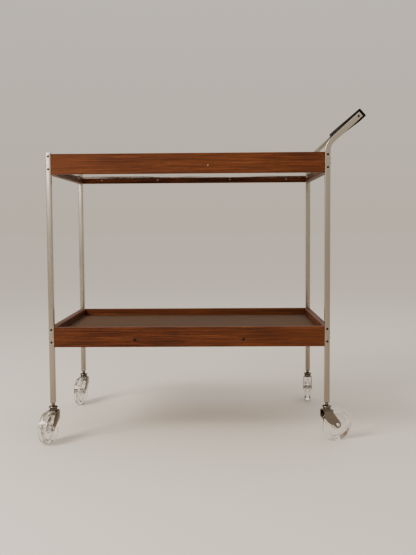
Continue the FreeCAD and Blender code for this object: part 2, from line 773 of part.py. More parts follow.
heating_element = add_node(new_body("heating_element"))
ribbon = new_sketch(heating_element, "ribbon", "XY_Plane")
add_outline(ribbon, ribbon_outline(int(size("element_passes"))))
pad(heating_element, ribbon, "element_thickness")
studs = new_sketch(heating_element, "studs", "XY_Plane")
element_board = add_node(new_body("element_board"))
board_outline = new_sketch(element_board, "outline", "XY_Plane")
add_rectangle(board_outline, "blanket_right - bay_left - blanket_gap", "blanket_depth",
              across="(blanket_right + bay_left + blanket_gap) / 2")
for sign in (-1, 1):
    stud_x = "-element_run / 2 + stud_diameter / 2"
    add_circle(studs, "stud_diameter / 2", stud_x, f"{sign} * element_span / 2")
    add_circle(board_outline, "stud_diameter / 2 + screw_gap", "lead_x + stud_diameter / 2",
               f"{sign} * element_span / 2")
pad(heating_element, studs, "element_bottom - lead_z + lead_diameter", backwards=True)
place(heating_element, "lead_x + element_run / 2", "0", "element_bottom")
pad(element_board, board_outline, "element_board_thickness")
place(element_board, up="element_board_bottom")

# Insulation blanket between the pan and the element board, short of the wiring bay
insulation_blanket = add_node(doc.addObject("Part::Box", "insulation_blanket"))
insulation_blanket.setExpression("Length", linked("blanket_right - bay_right"))
insulation_blanket.setExpression("Width", linked("blanket_depth"))
insulation_blanket.setExpression("Height", linked("element_board_bottom - pan_top"))
place(insulation_blanket, "bay_right", "-blanket_depth / 2", "pan_top")

# Appliance inlet: a moulded cup with a flange, let into the left rail
power_inlet = add_node(new_body("power_inlet"))
inlet_shell = new_sketch(power_inlet, "shell", "YZ_Plane")
add_rectangle(inlet_shell, "inlet_width", "inlet_height")
pad(power_inlet, inlet_shell, "inlet_depth")
inlet_rim = new_sketch(power_inlet, "rim", "YZ_Plane")
add_rectangle(inlet_rim, "inlet_flange_width", "inlet_flange_height")
pad(power_inlet, inlet_rim, "inlet_flange", backwards=True)
round_edges(power_inlet, "inlet_corner_radius",
            lambda box, middle: middle.x < 0 and box.XLength > 0.5 * size("inlet_flange"))
inlet_cup = new_sketch(power_inlet, "cup", "YZ_Plane", ("0", "0", "-inlet_flange"))
add_rectangle(inlet_cup, "inlet_width - 2 * inlet_wall", "inlet_height - 2 * inlet_wall")
pocket(power_inlet, inlet_cup, "inlet_flange + inlet_depth - inlet_back", backwards=True)
inlet_drillings = new_sketch(power_inlet, "drillings", "YZ_Plane")
for sign in (-1, 1):
    add_circle(inlet_drillings, "inlet_pin_diameter / 2 + screw_gap", f"{sign} * inlet_pin_pitch / 2")
    add_circle(inlet_drillings, "inlet_shank_hole", f"{sign} * inlet_screw_pitch / 2")
pocket(power_inlet, inlet_drillings)
place(power_inlet, "-cart_length / 2", "0", "lead_z")

inlet_pin = new_body("inlet_pin")
pin_section = new_sketch(inlet_pin, "section", "YZ_Plane", ("0", "0", "inlet_pin_recess"))
add_circle(pin_section, "inlet_pin_diameter / 2")
pad(inlet_pin, pin_section, "inlet_depth + inlet_tab - inlet_pin_recess")
inlet_pin_places = []
inlet_screw = make_screw("inlet_screw", "inlet_screw_diameter", "inlet_screw_head_diameter",
                         "inlet_screw_head_height", "inlet_flange + rail_thickness - screw_tip_gap")
inlet_screw_places = []
for sign in (-1, 1):
    pin_spot = Vector(-size("cart_length") / 2, sign * size("inlet_pin_pitch") / 2, size("lead_z"))
    screw_spot = Vector(-size("cart_length") / 2 - size("inlet_flange"),
                        sign * size("inlet_screw_pitch") / 2, size("lead_z"))
    inlet_pin_places.append(Placement(pin_spot, Rotation()))
    inlet_screw_places.append(Placement(screw_spot, facing((-1, 0, 0))))
add_group("inlet_pins", inlet_pin, inlet_pin_places)
add_group("inlet_screws", inlet_screw, inlet_screw_places)

# Thermostat: a flanged disc can under the element board, with a tab at each side
thermostat = add_node(new_body("thermostat"))
can = new_sketch(thermostat, "can", "XZ_Plane")
add_outline(can, [
    ("0", "0"),
    ("0", "-thermostat_height"),
    ("thermostat_diameter / 2", "-thermostat_height"),
    ("thermostat_diameter / 2", "-thermostat_flange"),
    ("thermostat_diameter / 2 + thermostat_rim", "-thermostat_flange"),
    ("thermostat_diameter / 2 + thermostat_rim", "0"),
])
revolve(thermostat, can)
tab_section = new_sketch(thermostat, "tabs", "XZ_Plane")
add_rectangle(tab_section, "thermostat_tab_width", "thermostat_tab_thickness",
              along="lead_z - element_board_bottom")
pad(thermostat, tab_section, "thermostat_diameter + 2 * thermostat_tab", symmetric=True)
place(thermostat, "lead_x", "thermostat_offset", "element_board_bottom")

# Leads: each pin to its run along the bay, then to the thermostat or to a stud

def make_lead(points):
    """A round lead from the first point to the last, with one bend between if there is one."""
    edges = []
    start = points[0]
    if len(points) == 3:
        radius = size("lead_bend_radius")
        corner = points[1]
        incoming = (corner - points[0]).normalize()
        outgoing = (points[2] - corner).normalize()
        bend_start = corner - incoming * radius
        bend_end = corner + outgoing * radius
        inside = bend_start + outgoing * radius
        middle = inside + (corner - inside).normalize() * radius
        edges.append(Part.LineSegment(start, bend_start).toShape())
        edges.append(Part.Arc(bend_start, middle, bend_end).toShape())
        start = bend_end
    edges.append(Part.LineSegment(start, points[-1]).toShape())
    heading = (points[1] - points[0]).normalize()
    section = Part.Wire([Part.makeCircle(size("lead_diameter") / 2, points[0], heading)])
    return Part.Wire(edges).makePipeShell([section], True, False)


def bay_point(across, along):
    return Vector(across, along, size("lead_z"))


lead_start = -size("cart_length") / 2 + size("inlet_depth") + size("inlet_tab")
pin_reach = size("inlet_pin_pitch") / 2
tab_reach = size("thermostat_diameter") / 2 + size("thermostat_tab")
stud_edge = size("element_span") / 2 - size("stud_diameter") / 2
lead_line = size("lead_x")
plain_lead = [bay_point(lead_start, -pin_reach), bay_point(lead_line, -pin_reach),
              bay_point(lead_line, -stud_edge)]
switched_lead = [bay_point(lead_start, pin_reach), bay_point(lead_line, pin_reach),
                 bay_point(lead_line, size("thermostat_offset") - tab_reach)]
stud_lead = [bay_point(lead_line, size("thermostat_offset") + tab_reach), bay_point(lead_line, stud_edge)]
inner_leads = add_node(doc.addObject("Part::Feature", "inner_leads"))
inner_leads.Shape = Part.makeCompound([make_lead(plain_lead), make_lead(switched_lead), make_lead(stud_lead)])

# Small bright pin in the upper front rail
rail_pin_hole = new_sketch(upper_rails[0], "pin_hole", "XZ_Plane")
add_circle(rail_pin_hole, "rail_pin_diameter / 2 + screw_gap", "rail_pin_offset", "rail_pin_height")
pocket(upper_rails[0], rail_pin_hole, "rail_pin_length")
rail_pin = add_node(new_body("rail_pin"))
rail_pin_section = new_sketch(rail_pin, "section", "XZ_Plane", ("0", "0", "rail_pin_head"))
add_circle(rail_pin_section, "rail_pin_diameter / 2")
pad(rail_pin, rail_pin_section, "rail_pin_length", backwards=True)
place(rail_pin, "rail_pin_offset", "-cart_depth / 2", "upper_rail_bottom + rail_pin_height")

# Lower tray: a thin board in the rails' grooves and on two battens, faced with laminate between the rails
lower_layers = (("lower_board", "panel_bottom", "board_thickness", "panel_reach"),
                ("lower_laminate", "panel_bottom + board_thickness", "laminate_thickness", "-panel_edge_gap"))
for label, bottom, thickness, reach in lower_layers:
    layer = add_node(doc.addObject("Part::Box", label))
    layer.setExpression("Length", linked(f"tray_length + 2 * {reach}"))
    layer.setExpression("Width", linked(f"tray_depth + 2 * {reach}"))
    layer.setExpression("Height", linked(thickness))
    place(layer, f"-tray_length / 2 - {reach}", f"-tray_depth / 2 - {reach}", bottom)

batten = new_body("batten")
batten_outline = new_sketch(batten, "outline", "XY_Plane")
add_rectangle(batten_outline, "tray_depth", "batten_width")
pad(batten, batten_outline, "batten_height")
add_end_holes(batten, "tray_depth", [("0", "batten_height - batten_screw_drop")],
              "batten_shank_hole", "batten_screw_grip + screw_tip_gap")
batten_screw = make_screw("batten_screw", "batten_screw_diameter", "batten_screw_head_diameter",
                          "batten_screw_head_height", "rail_thickness + batten_screw_grip")
batten_places = []
batten_screw_places = []
for sign in (-1, 1):
    across = sign * size("batten_pitch") / 2
    foot = Vector(across, 0, size("panel_bottom") - size("batten_height"))
    batten_places.append(Placement(foot, Rotation(Vector(0, 0, 1), 90)))
    for front in (-1, 1):
        spot = Vector(across, front * size("cart_depth") / 2, size("batten_screw_z"))
        batten_screw_places.append(Placement(spot, facing((0, front, 0))))
add_group("lower_battens", batten, batten_places)
add_group("batten_screws", batten_screw, batten_screw_places)
for rail in lower_rails[:2]:
    batten_holes = new_sketch(rail, "batten_holes", "XZ_Plane")
    for sign in (-1, 1):
        add_circle(batten_holes, "batten_shank_hole", f"{sign} * batten_pitch / 2",
                   "batten_screw_z - lower_rail_bottom")
    pocket(rail, batten_holes)

# Caster sockets, stems and caps: fixed to the posts, on each post's own axis
socket = new_body("caster_socket")
socket_flange = new_sketch(socket, "flange", "XY_Plane", ("0", "0", "post_bottom"))
add_rectangle(socket_flange, "post_width - 2 * socket_step", "post_width - 2 * socket_step")
pad(socket, socket_flange, "socket_flange", backwards=True)
socket_plug = new_sketch(socket, "plug", "XY_Plane", ("0", "0", "post_bottom"))
add_rectangle(socket_plug, "post_inside - 2 * plug_gap", "post_inside - 2 * plug_gap")
pad(socket, socket_plug, "socket_depth")
socket_bore = new_sketch(socket, "bore", "XY_Plane")
add_circle(socket_bore, "stem_diameter / 2 + running_gap")
pocket(socket, socket_bore)

stem = new_body("caster_stem")
stem_profile = new_sketch(stem, "profile", "XZ_Plane")
add_outline(stem_profile, [
    ("0", "stem_head_top - stem_head_height"),
    ("stem_head_diameter / 2", "stem_head_top - stem_head_height"),
    ("stem_head_diameter / 2", "stem_head_top"),
    ("stem_diameter / 2", "stem_head_top"),
    ("stem_diameter / 2", "cap_top"),
    ("stem_collar_diameter / 2", "cap_top"),
    ("stem_collar_diameter / 2", "post_bottom - socket_flange"),
    ("stem_diameter / 2", "post_bottom - socket_flange"),
    ("stem_diameter / 2", "post_bottom + stem_insert"),
    ("0", "post_bottom + stem_insert"),
])
revolve(stem, stem_profile)

cap = new_body("caster_cap")
cap_profile = new_sketch(cap, "profile", "XZ_Plane")
add_outline(cap_profile, [
    ("stem_diameter / 2 + running_gap", "cap_bottom"),
    ("cap_diameter / 2", "cap_bottom"),
    ("cap_diameter / 2", "cap_bottom + cap_lip"),
    ("cap_diameter * 0.4", "cap_bottom + cap_height * 0.62"),
    ("cap_diameter * 0.27", "cap_bottom + cap_height * 0.9"),
    ("stem_collar_diameter / 2", "cap_top"),
    ("stem_diameter / 2 + running_gap", "cap_top"),
])
revolve(cap, cap_profile)
post_axes = []
for side, front in CORNERS.values():
    post_axes.append(Placement(Vector(side * size("post_x"), front * size("post_y"), 0), Rotation()))
add_group("caster_sockets", socket, post_axes)
add_group("caster_stems", stem, post_axes)
add_group("caster_caps", cap, post_axes)

# Swivelling caster pieces: the stem's axis at the origin, the wheel trailing towards +X

def make_fork(label):
    """A pressed fork: side outline, wheel slot, bent shoulders, raised race, stem and axle holes."""
    body = new_body(label)
    side_view = new_sketch(body, "side", "XZ_Plane")
    axle = Vector(size("caster_trail"), size("wheel_radius"), 0)
    crown = size("fork_crown_height")
    back = Vector(-size("fork_crown_back"), crown - size("fork_back_drop"), 0)
    front = Vector(size("fork_crown_front"), crown - size("fork_front_drop"), 0)
    radius = size("fork_boss_radius")

    def touch_angle(point, sign):
        offset = point - axle
        return math.atan2(offset.y, offset.x) + sign * math.acos(radius / offset.Length)

    def on_boss(angle):
        return axle + Vector(math.cos(angle), math.sin(angle), 0) * radius

    low = touch_angle(back, 1)
    high = touch_angle(front, -1) + 2 * math.pi
    top = side_view.addGeometry(Part.LineSegment(Vector(back.x, crown, 0), Vector(front.x, crown, 0)))
    front_skirt = side_view.addGeometry(Part.LineSegment(Vector(front.x, crown, 0), front))
    front_leg = side_view.addGeometry(Part.LineSegment(front, on_boss(high)))
    boss = side_view.addGeometry(Part.ArcOfCircle(Part.Circle(axle, Vector(0, 0, 1), radius), low, high))
    back_leg = side_view.addGeometry(Part.LineSegment(on_boss(low), back))
    back_skirt = side_view.addGeometry(Part.LineSegment(back, Vector(back.x, crown, 0)))
    corners = ((top, front_skirt), (front_skirt, front_leg), (back_leg, back_skirt), (back_skirt, top))
    for first, second in corners:
        side_view.addConstraint(Sketcher.Constraint("Coincident", first, 2, second, 1))
    side_view.addConstraint(Sketcher.Constraint("Tangent", front_leg, 2, boss, 2))
    side_view.addConstraint(Sketcher.Constraint("Tangent", boss, 1, back_leg, 1))
    pin(side_view, top, 1, "-fork_crown_back", "fork_crown_height")
    pin(side_view, top, 2, "fork_crown_front", "fork_crown_height")
    pin(side_view, front_skirt, 2, "fork_crown_front", "fork_crown_height - fork_front_drop")
    pin(side_view, back_skirt, 1, "-fork_crown_back", "fork_crown_height - fork_back_drop")
    pin(side_view, boss, 3, "caster_trail", "wheel_radius")
    tie(side_view, Sketcher.Constraint("Radius", boss, radius), "fork_boss_radius")
    pad(body, side_view, "fork_width", symmetric=True)
    slot = new_sketch(body, "slot", "YZ_Plane")
    add_rectangle(slot, "fork_inside", "fork_crown_height", along="fork_crown_height / 2 - fork_sheet")
    pocket(body, slot)
    half_width = size("fork_width") / 2
    half_slot = size("fork_inside") / 2
    under_crown = crown - size("fork_sheet")
    round_edges(body, "fork_bend_radius",
                lambda box, middle: near(middle.z, crown) and near(abs(middle.y), half_width))
    round_edges(body, "fork_bend_radius - fork_sheet",
                lambda box, middle: near(middle.z, under_crown) and near(abs(middle.y), half_slot))
    round_edges(body, "fork_corner_radius",
                lambda box, middle: near(middle.x, back.x) and near(middle.z, back.y))
    race = new_sketch(body, "race", "XY_Plane", ("0", "0", "fork_crown_height"))
    add_circle(race, "race_diameter / 2")
    pad(body, race, "race_rise")
    axle_hole = new_sketch(body, "axle_hole", "XZ_Plane")
    add_circle(axle_hole, "axle_diameter / 2 + running_gap", "caster_trail", "wheel_radius")
    pocket(body, axle_hole)
    stem_hole = new_sketch(body, "stem_hole", "XY_Plane")
    add_circle(stem_hole, "stem_diameter / 2 + running_gap")
    pocket(body, stem_hole)
    return body


def axle_sketch(body, title):
    """A sketch through the axle: radius across, distance along the axle upwards."""
    return new_sketch(body, title, "XY_Plane", ("caster_trail", "0", "wheel_radius"))


def make_washer(label):
    body = new_body(label)
    ring = new_sketch(body, "ring", "XY_Plane", ("0", "0", "race_top"))
    add_circle(ring, "washer_diameter / 2")
    add_circle(ring, "stem_diameter / 2 + 2 * running_gap")
    pad(body, ring, "washer_thickness")
    return body


def make_axle(label):
    body = new_body(label)
    profile = axle_sketch(body, "profile")
    shoulder = "fork_width / 2"
    head = f"{shoulder} + axle_head_height"
    right = [
        ("axle_diameter / 2", shoulder),
        ("axle_head_diameter / 2", shoulder),
        ("axle_head_diameter / 2", f"{shoulder} + axle_head_height * 0.4"),
        ("axle_head_diameter * 0.3", head),
        ("0", head),
    ]
    left = [(across, f"-({along})") for across, along in right]
    add_outline(profile, right + left[::-1])
    revolve(body, profile)
    return body


def make_wheel(label):
    """A clear wheel: hub, thin web and thick rim, drafted from the mould, the tread's edges rounded."""
    body = new_body(label)
    profile = axle_sketch(body, "profile")
    bore = "bush_diameter / 2 + bush_fit"
    rim = "wheel_radius - wheel_rim"
    right = [
        (bore, "wheel_width / 2"),
        ("wheel_hub_diameter / 2", "wheel_width / 2"),
        ("wheel_hub_diameter / 2 + wheel_draft", "wheel_web / 2"),
        (f"{rim} - wheel_draft", "wheel_web / 2"),
        (rim, "wheel_width / 2"),
        ("wheel_radius", "wheel_width / 2"),
    ]
    left = [(across, f"-({along})") for across, along in right]
    add_outline(profile, right + left[::-1])
    revolve(body, profile)
    width = size("wheel_diameter") - 1
    round_edges(body, "wheel_edge_radius", lambda box, middle: box.XLength > width and box.ZLength > width)
    return body


def make_bush(label):
    body = new_body(label)
    ring = axle_sketch(body, "profile")
    reach = "(fork_inside / 2 - side_gap)"
    add_outline(ring, [
        ("axle_diameter / 2 + running_gap", f"-{reach}"),
        ("bush_diameter / 2", f"-{reach}"),
        ("bush_diameter / 2", reach),
        ("axle_diameter / 2 + running_gap", reach),
    ])
    revolve(body, ring)
    return body


CASTER_PIECES = {
    "caster_washer": make_washer,
    "caster_fork": make_fork,
    "caster_axle": make_axle,
    "caster_wheel": make_wheel,
    "caster_bush": make_bush,
}
for corner, (side, front) in CORNERS.items():
    for piece, make in CASTER_PIECES.items():
        made = add_node(make(f"{piece}_{corner}"))
        place(made, f"{side} * post_x", f"{front} * post_y", turn=size(corner + "_caster_angle"))

# Every object is sound before anything is written
doc.recompute()
for item in doc.Objects:
    if "Invalid" in item.State or "Error" in item.State:
        raise RuntimeError(f"{item.Label} did not rebuild: {item.State}")
for node in nodes:
    if node.Shape.isNull() or not node.Shape.isValid() or not node.Shape.Solids:
        raise RuntimeError(f"{node.Label} has no sound solid")

os.makedirs("parts", exist_ok=True)
for node in nodes:
    node.Shape.exportStep(f"parts/{node.Label}.step")
print(f"{len(nodes)} nodes written")
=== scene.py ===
import json
import math

import bpy
from mathutils import Matrix, Vector


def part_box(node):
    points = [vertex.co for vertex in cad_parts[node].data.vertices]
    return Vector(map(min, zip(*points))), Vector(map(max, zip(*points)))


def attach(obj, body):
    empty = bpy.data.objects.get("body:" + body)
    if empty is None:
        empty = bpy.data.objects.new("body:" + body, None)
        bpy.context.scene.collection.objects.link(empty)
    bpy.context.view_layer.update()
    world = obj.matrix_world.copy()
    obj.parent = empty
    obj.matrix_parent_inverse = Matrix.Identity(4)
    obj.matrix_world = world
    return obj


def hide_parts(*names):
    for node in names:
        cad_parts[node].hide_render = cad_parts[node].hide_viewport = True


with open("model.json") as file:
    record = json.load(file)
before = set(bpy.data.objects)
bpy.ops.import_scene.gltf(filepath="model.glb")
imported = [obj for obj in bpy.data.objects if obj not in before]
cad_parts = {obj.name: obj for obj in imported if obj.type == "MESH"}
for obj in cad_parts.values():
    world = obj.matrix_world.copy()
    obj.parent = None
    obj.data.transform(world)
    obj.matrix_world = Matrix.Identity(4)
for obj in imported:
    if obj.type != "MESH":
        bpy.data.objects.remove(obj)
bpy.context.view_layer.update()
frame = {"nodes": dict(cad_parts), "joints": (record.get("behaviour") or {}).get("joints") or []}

# Posts: four square drawn aluminium tubes with eased corners, satin finished, with a painted brown reflection
# of the floor that darkens them towards their feet.
# The right-hand pair is bent outwards above the tray to carry the handle.
# Screws through all four hold the trays.
POST_WIDTH = 0.0127
POST_CORNER = 0.0012
BEND_RISE = 0.0173
BEND_RADIUS = 0.036
HANDLE_ANGLE = math.radians(42.3)
HANDLE_REACH = 0.0754
ARM_PAST_BAR = 0.0005
# Painted reflection: heights, share and brown colour of the floor painted into the lower posts, fading out
# upwards.
REFLECTION_FULL_BELOW = 0.12
REFLECTION_GONE_ABOVE = 0.72
REFLECTION_SHARE = 0.85
FLOOR_REFLECTION_BROWN = (0.25, 0.20, 0.155, 1.0)
EVEN = (1.0, 1.0, 1.0)
LINE_SHADE = 0.72
SMOOTH_BELOW = math.radians(32.0)
CORNERS = {"front_left": (-1, -1), "back_left": (-1, 1), "front_right": (1, -1), "back_right": (1, 1)}


def new_material(name):
    material = bpy.data.materials.new(name)
    material.use_nodes = True
    return material


def feed(material, socket, value):
    """Link a socket to another, or set it to a value."""
    if isinstance(value, bpy.types.NodeSocket):
        material.node_tree.links.new(value, socket)
    else:
        socket.default_value = value


def add_node(material, kind, inputs, **settings):
    made = material.node_tree.nodes.new("ShaderNode" + kind)
    for setting, value in settings.items():
        setattr(made, setting, value)
    for name, value in inputs.items():
        feed(material, made.inputs[name], value)
    return made


def add_noise(material, stretch, scale, detail=4.0, roughness=0.55, distortion=0.0, shift=(0.0, 0.0, 0.0)):
    """Noise over the piece's own place, stretched along its axes."""
    spot = add_node(material, "TexCoord", {}).outputs["Object"]
    mapped = add_node(material, "Mapping", {"Vector": spot, "Location": shift, "Scale": stretch})
    noise = add_node(material, "TexNoise", {
        "Vector": mapped.outputs["Vector"], "Scale": scale, "Detail": detail,
        "Roughness": roughness, "Distortion": distortion})
    return noise.outputs["Fac"]


def add_range(material, factor, low, high, start=0.3, end=0.7):
    """A noise factor, most of which lies between start and end, brought into a range."""
    span = add_node(material, "MapRange", {
        "Value": factor, "From Min": start, "From Max": end, "To Min": low, "To Max": high})
    return span.outputs["Result"]


def add_mix(material, factor, first, second):
    """One colour over another by a factor: inputs 0, 6 and 7 and output 2 are those of a mix of colours."""
    mix = add_node(material, "Mix", {}, data_type="RGBA")
    for number, value in ((0, factor), (6, first), (7, second)):
        feed(material, mix.inputs[number], value)
    return mix.outputs[2]


def add_bump(material, height, strength, distance):
    bump = add_node(material, "Bump", {"Height": height, "Strength": strength, "Distance": distance})
    return bump.outputs["Normal"]


def set_surface(material, inputs):
    shader = material.node_tree.nodes["Principled BSDF"]
    for name, value in inputs.items():
        feed(material, shader.inputs[name], value)


def make_metal(name, colour, rough, spread, line_scale, line_depth, stretch=EVEN):
    """Metal with fine marks, stretched to lines or not, under broad cloudy handling marks."""
    metal = new_material(name)
    lines = add_noise(metal, stretch, line_scale, detail=3.0, roughness=0.6)
    clouds = add_noise(metal, (1.0, 1.0, 0.25), scale=30.0, detail=3.0, roughness=0.55)
    bright = (*colour, 1.0)
    dull = (*[part * LINE_SHADE for part in colour], 1.0)
    lined = add_mix(metal, add_range(metal, lines, low=0.0, high=0.35), bright, dull)
    set_surface(metal, {
        "Base Color": add_mix(metal, add_range(metal, clouds, low=0.0, high=0.2), lined, dull),
        "Metallic": 1.0,
        "Roughness": add_range(metal, clouds, rough - spread, rough + spread),
        "Normal": add_bump(metal, lines, line_depth, distance=0.0002),
    })
    return metal


def pick(piece):
    """Make a piece the only one that operators act on."""
    bpy.ops.object.select_all(action="DESELECT")
    piece.select_set(True)
    bpy.context.view_layer.objects.active = piece


def fit_piece(piece, material, slot, body, *nodes):
    """Smooth a piece, give it its finish and its body, and let it stand for its CAD nodes."""
    pick(piece)
    bpy.ops.object.shade_smooth_by_angle(angle=SMOOTH_BELOW)
    piece.data.materials.clear()
    piece.data.materials.append(material)
    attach(piece, body)
    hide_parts(*nodes)


def draw_tube(name, foot, height, bent):
    """A rounded square drawn up from its foot and, for an arm, round the bend and outwards."""
    bpy.ops.object.select_all(action="DESELECT")
    bpy.ops.mesh.primitive_plane_add(size=POST_WIDTH, location=foot)
    tube = bpy.context.active_object
    tube.name = name
    bpy.ops.object.transform_apply(location=True, rotation=True, scale=True)
    bpy.ops.object.mode_set(mode="EDIT")
    bpy.ops.mesh.bevel(offset=POST_CORNER, segments=4, affect="VERTICES")
    bpy.ops.mesh.delete(type="ONLY_FACE")
    bpy.ops.mesh.select_all(action="SELECT")
    if bent:
        turn = math.pi / 2 - HANDLE_ANGLE
        setback = BEND_RADIUS * math.tan(turn / 2)
        bend_start = height + BEND_RISE - setback
        centre = Vector(foot) + Vector((BEND_RADIUS, 0.0, bend_start))
        arm = HANDLE_REACH / math.cos(HANDLE_ANGLE) - setback + ARM_PAST_BAR
        along = Vector((math.cos(HANDLE_ANGLE), 0.0, math.sin(HANDLE_ANGLE)))
        bpy.ops.mesh.extrude_region_move(TRANSFORM_OT_translate={"value": (0.0, 0.0, bend_start)})
        bpy.ops.mesh.spin(steps=20, angle=-turn, center=centre, axis=(0.0, 1.0, 0.0))
        bpy.ops.mesh.extrude_region_move(TRANSFORM_OT_translate={"value": along * arm})
    else:
        bpy.ops.mesh.extrude_region_move(TRANSFORM_OT_translate={"value": (0.0, 0.0, height)})
    bpy.ops.mesh.edge_face_add()
    bpy.ops.mesh.select_all(action="DESELECT")
    bpy.ops.mesh.select_mode(type="EDGE")
    bpy.ops.mesh.select_non_manifold()
    bpy.ops.mesh.edge_face_add()
    bpy.ops.mesh.select_all(action="SELECT")
    bpy.ops.mesh.normals_make_consistent(inside=False)
    bpy.ops.object.mode_set(mode="OBJECT")
    return tube


satin_tube = make_metal("satin_tube", (0.545, 0.50, 0.42), rough=0.24, spread=0.05,
                        line_scale=3.0, line_depth=0.12, stretch=(420.0, 420.0, 2.0))
tube_spot = add_node(satin_tube, "TexCoord", {}).outputs["Object"]
tube_height = add_node(satin_tube, "SeparateXYZ", {"Vector": tube_spot}).outputs["Z"]
tube_finish = satin_tube.node_tree.nodes["Principled BSDF"].inputs["Base Color"].links[0].from_socket
# Painted reflection of the floor: the tube colour is mixed with brown by height, most near the feet.
painted_floor_reflection = add_range(satin_tube, tube_height, low=REFLECTION_SHARE, high=0.0, start=REFLECTION_FULL_BELOW, end=REFLECTION_GONE_ABOVE)
set_surface(satin_tube, {"Base Color": add_mix(satin_tube, painted_floor_reflection, tube_finish, FLOOR_REFLECTION_BROWN)})
upper_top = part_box("upper_front_rail")[1].z
for corner, (side, _) in CORNERS.items():
    low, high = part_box("post_" + corner)
    foot = (low.x + POST_WIDTH / 2, (low.y + high.y) / 2, low.z)
    bent = side > 0
    height = upper_top - low.z if bent else high.z - low.z
    tube = draw_tube(f"{corner}_tube", foot, height, bent)
    fit_piece(tube, satin_tube, "post_aluminium", "cart", "post_" + corner)

# Tube plugs: cast aluminium caps pushed into the open tops of the four tubes.
# They are as wide as the posts, so that only a fine joint shows round each one.
def dress(material, *names):
    """Give CAD nodes their finish."""
    for name in names:
        node = frame["nodes"][name]
        node.data.materials.clear()
        node.data.materials.append(material)


cast_plug = make_metal("cast_plug", (0.70, 0.68, 0.62), rough=0.4, spread=0.06,
                       line_scale=900.0, line_depth=0.2)
dress(cast_plug, "tube_end_plugs")

# Tray rails: eight solid walnut boards with eased edges and straight grain, rubbed with oil.
# The long ones stand between the posts, the short ones close the ends, and all are screwed to the posts.
WALNUT = ((0.021, 0.0037, 0.0005), (0.107, 0.0242, 0.0052), (0.210, 0.0645, 0.0192))
GRAIN_ALONG = {"front": "X", "back": "X", "left": "Y", "right": "Y"}
GRAIN_LIFT = {"upper": 5.3, "lower": 0.0}
GRAIN_STEP_X = 3.7
GRAIN_STEP_Y = 1.9
PORE_SHADE = 0.4


def add_ramp(material, factor, stops):
    """Colours at positions along a factor."""
    ramp = add_node(material, "ValToRGB", {"Fac": factor})
    elements = ramp.color_ramp.elements
    while len(elements) < len(stops):
        elements.new(0.5)
    for element, (position, colour) in zip(elements, stops):
        element.position = position
        element.color = (*colour, 1.0)
    return ramp.outputs["Color"]


def make_wood(name, along, shift, colours, rough, gloss):
    """Straight-grained wood: broad figure, streaks, fine fibres and short open pores along one axis."""
    dark, middle, light = colours
    wood = new_material(name)
    stretch = {"X": (0.7, 26.0, 26.0), "Y": (26.0, 0.7, 26.0)}[along]
    pore_stretch = {"X": (45.0, 1300.0, 1300.0), "Y": (1300.0, 45.0, 1300.0)}[along]
    figure = add_noise(wood, stretch, scale=4.2, detail=7.0, roughness=0.74, distortion=0.5, shift=shift)
    streaks = add_noise(wood, stretch, scale=13.0, detail=2.0, roughness=0.5, distortion=0.1, shift=shift)
    fibres = add_noise(wood, stretch, scale=58.0, detail=3.0, roughness=0.6, shift=shift)
    pores = add_noise(wood, pore_stretch, scale=1.0, detail=1.0, roughness=0.5, shift=shift)
    drift = add_noise(wood, EVEN, scale=2.5, detail=2.0, roughness=0.5, shift=shift)
    streak_share = add_range(wood, streaks, low=0.9, high=0.0, start=0.36, end=0.60)
    fibre_share = add_range(wood, fibres, low=0.55, high=0.0, start=0.36, end=0.58)
    pore_share = add_range(wood, pores, low=0.0, high=0.6, start=0.58, end=0.68)
    light_share = add_range(wood, drift, low=0.0, high=0.3)
    pore_colour = (*[part * PORE_SHADE for part in dark], 1.0)
    figured = add_ramp(wood, figure, [(0.26, dark), (0.47, middle), (0.76, light)])
    streaked = add_mix(wood, streak_share, figured, (*dark, 1.0))
    fibred = add_mix(wood, fibre_share, streaked, (*dark, 1.0))
    pored = add_mix(wood, pore_share, fibred, pore_colour)
    set_surface(wood, {
        "Base Color": add_mix(wood, light_share, pored, (*light, 1.0)),
        "Roughness": add_range(wood, streaks, low=rough + 0.08, high=rough - 0.06),
        "Normal": add_bump(wood, pores, strength=0.2, distance=-0.0003),
        "Specular IOR Level": gloss,
    })
    return wood


for tray, lift in GRAIN_LIFT.items():
    for number, (side, along) in enumerate(GRAIN_ALONG.items()):
        shift = (number * GRAIN_STEP_X, number * GRAIN_STEP_Y, lift)
        walnut = make_wood(f"walnut_{tray}_{side}", along, shift, WALNUT, rough=0.48, gloss=0.14)
        dress(walnut, f"{tray}_{side}_rail")

# Post screws: bronzed steel with domed, slotted heads, turned and then slotted.
# Two go through the face and two through the side of each post at each tray, into the ends of the rails.
POST_SCREW_HEAD = 0.0056
POST_SCREW_RISE = 0.0014
POST_SCREW_LENGTH = 0.036
FACE_SCREW_DROPS = (0.006, 0.036)
SIDE_SCREW_DROPS = (0.0155, 0.0265)
SCREW_SHANK_SHARE = 0.55
SCREW_RIM_SHARE = 0.3
SCREW_SLOT_SHARE = 0.08
SCREW_SLOT_DEPTH = 0.45
WELD_WITHIN = 1e-6
TURN_STEP = 1.9


